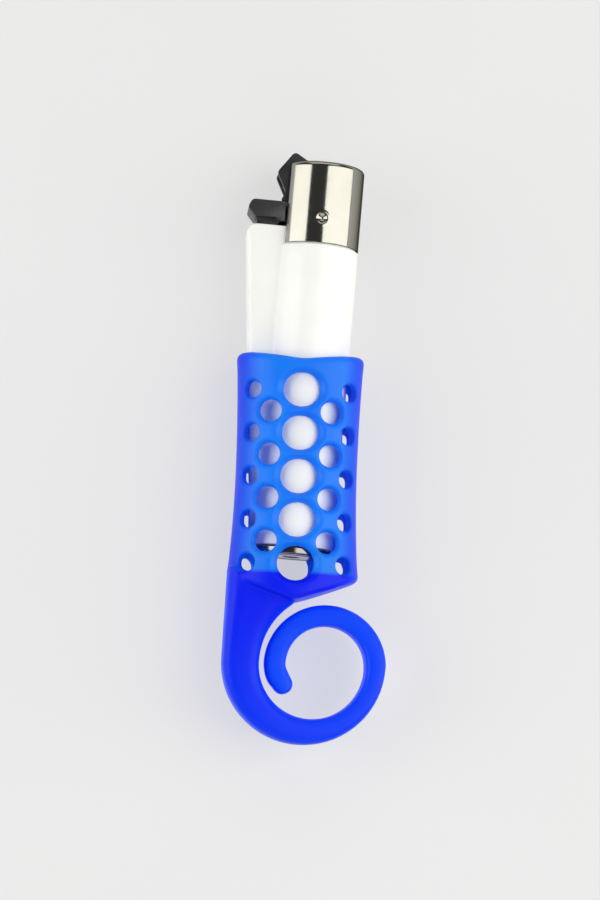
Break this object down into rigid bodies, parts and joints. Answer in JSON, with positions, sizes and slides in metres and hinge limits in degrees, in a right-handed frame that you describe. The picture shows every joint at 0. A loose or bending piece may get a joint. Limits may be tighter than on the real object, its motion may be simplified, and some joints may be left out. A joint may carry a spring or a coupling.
{
  "type": "flint spark lighter in a hooked sleeve",
  "caption": "Refillable flint wheel lighter held in a perforated moulded plastic sleeve whose end curls into a hook for a finger, cord or belt.",
  "frame": {"origin": "middle of the whole object's box at its lowest level, which is the back of the sleeve as the object lies on its back", "axes": "+X towards the side that the hook's tail curls to, +Y along the sleeve towards the flame end, +Z out of the front face"},
  "size_m": [0.0296, 0.1076, 0.0188],
  "materials": {
    "sleeve_plastic": "translucent blue moulded plastic, satin gloss",
    "barrel_nylon": "opaque white nylon, smooth",
    "base_metal": "dark plated cap",
    "plug_nylon": "off-white nylon, matt",
    "valve_brass": "turned brass",
    "seal_rubber": "black rubber",
    "spring_steel": "drawn steel wire",
    "filter_felt": "pressed fibre",
    "jet_brass": "polished brass",
    "collar_plastic": "black plastic",
    "lever_plastic": "black moulded plastic, satin",
    "hood_chrome": "polished plated sheet",
    "holder_plastic": "black moulded plastic, satin",
    "wheel_steel": "hardened toothed steel",
    "ferrocerium": "ferrocerium rod"
  },
  "bodies": {
    "holder": {"sleeve": "sleeve_plastic"},
    "lighter": {"tank_body": "barrel_nylon", "base_cap": "base_metal", "base_plug": "plug_nylon", "hood": "hood_chrome", "refill_valve_body": "valve_brass", "refill_valve_seal": "seal_rubber", "refill_valve_spring": "spring_steel", "burner_valve_body": "valve_brass", "burner_o_ring": "seal_rubber", "burner_valve_spring": "spring_steel", "flow_filter": "filter_felt"},
    "refill_stem": {"refill_valve_stem": "valve_brass"},
    "thumb_lever": {"lever": "lever_plastic"},
    "burner_jet": {"jet": "jet_brass", "jet_collar": "collar_plastic", "burner_valve_seal": "seal_rubber"},
    "flint_system": {"flint_holder": "holder_plastic", "wheel_axle": "spring_steel", "flint_spring": "spring_steel", "flint_tube_plug": "holder_plastic"},
    "wheel": {"spark_wheel": "wheel_steel"},
    "flint_rod": {"flint": "ferrocerium"}
  },
  "joints": [
    {"name": "lighter_slide", "type": "slide", "parent": "holder", "child": "lighter", "axis": [0.0471, 0.9989, 0], "range_m": [0, 0.04]},
    {"name": "refill_press", "type": "slide", "parent": "lighter", "child": "refill_stem", "axis": [0.0471, 0.9989, 0], "range_m": [0, 0.001], "stiffness_N_per_m": 300, "springref_m": -0.0005, "deforming": ["refill_valve_spring"]},
    {"name": "lever_press", "type": "hinge", "parent": "lighter", "child": "thumb_lever", "pos_m": [-0.00316, 0.04087, 0.0094], "axis": [0, 0, 1], "range_deg": [0, 7.5], "stiffness_Nm_per_rad": 0.3, "springref_deg": -5.73},
    {"name": "jet_lift", "type": "slide", "parent": "lighter", "child": "burner_jet", "axis": [0.0471, 0.9989, 0], "range_m": [0, 0.0008], "deforming": ["burner_valve_spring"]},
    {"name": "flint_holder_pull", "type": "slide", "parent": "lighter", "child": "flint_system", "axis": [0.0471, 0.9989, 0], "range_m": [0, 0.045]},
    {"name": "wheel_spin", "type": "hinge", "parent": "flint_system", "child": "wheel", "pos_m": [-0.00438, 0.04894, 0.0094], "axis": [0, 0, 1], "continuous": true},
    {"name": "flint_feed", "type": "slide", "parent": "flint_system", "child": "flint_rod", "axis": [0.0471, 0.9989, 0], "range_m": [-0.0015, 0], "stiffness_N_per_m": 60, "springref_m": 0.003, "deforming": ["flint_spring"]}
  ],
  "couplings": [
    {"joint": "jet_lift", "follows": "lever_press", "m_per_rad": 0.006}
  ]
}
